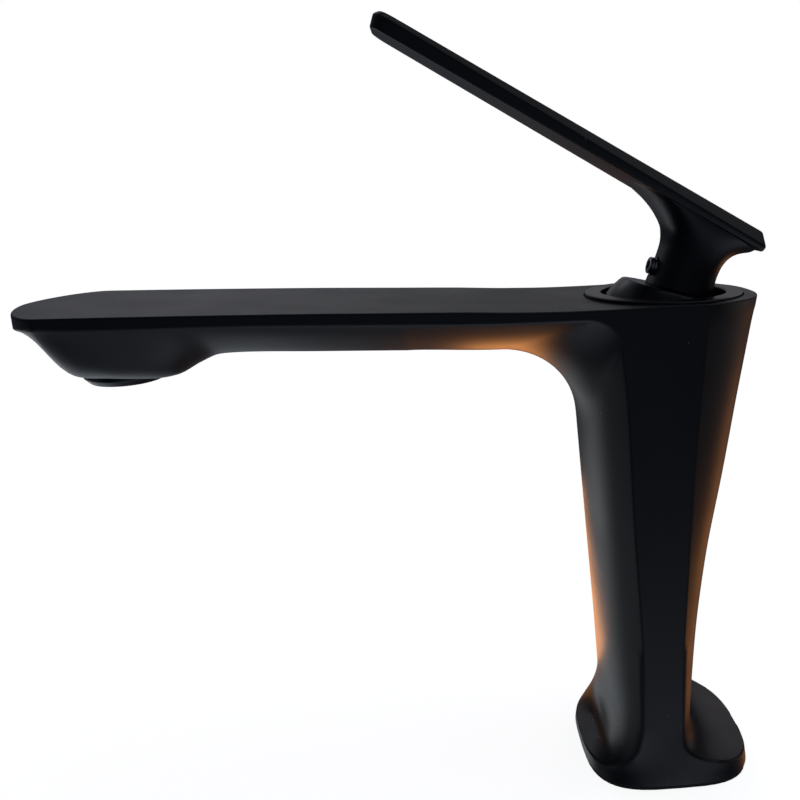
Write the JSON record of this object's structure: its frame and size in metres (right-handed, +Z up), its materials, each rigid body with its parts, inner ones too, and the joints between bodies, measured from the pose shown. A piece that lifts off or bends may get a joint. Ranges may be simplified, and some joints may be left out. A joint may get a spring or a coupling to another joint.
{
  "type": "single-lever basin mixer tap",
  "caption": "Deck-mounted basin mixer with a long flat spout, tapering column, rounded-square foot and a tilting, turning flat lever over a ceramic disc cartridge.",
  "frame": {"origin": "centre of the deck hole on the flat underside of the foot", "axes": "+Z up out of the deck, -X toward the spout's tip and the lever's tip, +Y the cold side"},
  "size_m": [0.2049, 0.0524, 0.2215],
  "materials": {
    "body_lacquer": "satin black baked lacquer on a brass casting",
    "lever_lacquer": "satin black baked lacquer on a zinc casting",
    "trim_lacquer": "satin black lacquer on turned metal",
    "nut_brass": "turned",
    "cartridge_plastic": "moulded",
    "carrier_plastic": "moulded",
    "guide_plastic": "moulded",
    "limit_plastic": "moulded",
    "insert_plastic": "moulded",
    "disc_ceramic": null,
    "pin_steel": "stainless",
    "screw_steel": "stainless",
    "seal_rubber": "moulded EPDM"
  },
  "bodies": {
    "tap_body": {"body_casting": "body_lacquer", "base_gasket": "seal_rubber", "bezel_ring": "trim_lacquer", "clamp_nut": "nut_brass", "cartridge_housing": "cartridge_plastic", "cartridge_base": "cartridge_plastic", "inlet_seal_hot": "seal_rubber", "inlet_seal_cold": "seal_rubber", "disc_seal_hot": "seal_rubber", "disc_seal_cold": "seal_rubber", "fixed_disc": "disc_ceramic", "housing_oring": "seal_rubber", "limit_ring": "limit_plastic", "aerator_shell": "trim_lacquer", "aerator_insert": "insert_plastic", "jet_plate": "carrier_plastic", "inlet_screen": "pin_steel", "aerator_washer": "seal_rubber"},
    "guide": {"stem_guide": "guide_plastic", "stem_pin": "pin_steel"},
    "lever": {"lever_stem": "nut_brass", "dome_cap": "trim_lacquer", "lever_handle": "lever_lacquer", "set_screw": "screw_steel"},
    "disc": {"moving_disc": "disc_ceramic", "disc_carrier": "carrier_plastic"}
  },
  "joints": [
    {"name": "lever_turn", "type": "hinge", "parent": "tap_body", "child": "guide", "pos_m": [-0.0023, 0, 0.135], "axis": [0, 0, 1], "range_deg": [-45, 45]},
    {"name": "lever_lift", "type": "hinge", "parent": "guide", "child": "lever", "pos_m": [-0.0023, 0, 0.135], "axis": [0, 1, 0], "range_deg": [-25, 0]},
    {"name": "disc_slide", "type": "slide", "parent": "guide", "child": "disc", "axis": [1, 0, 0], "range_m": [0, 0.0054]}
  ],
  "couplings": [
    {"joint": "disc_slide", "follows": "lever_lift", "m_per_rad": -0.012}
  ]
}
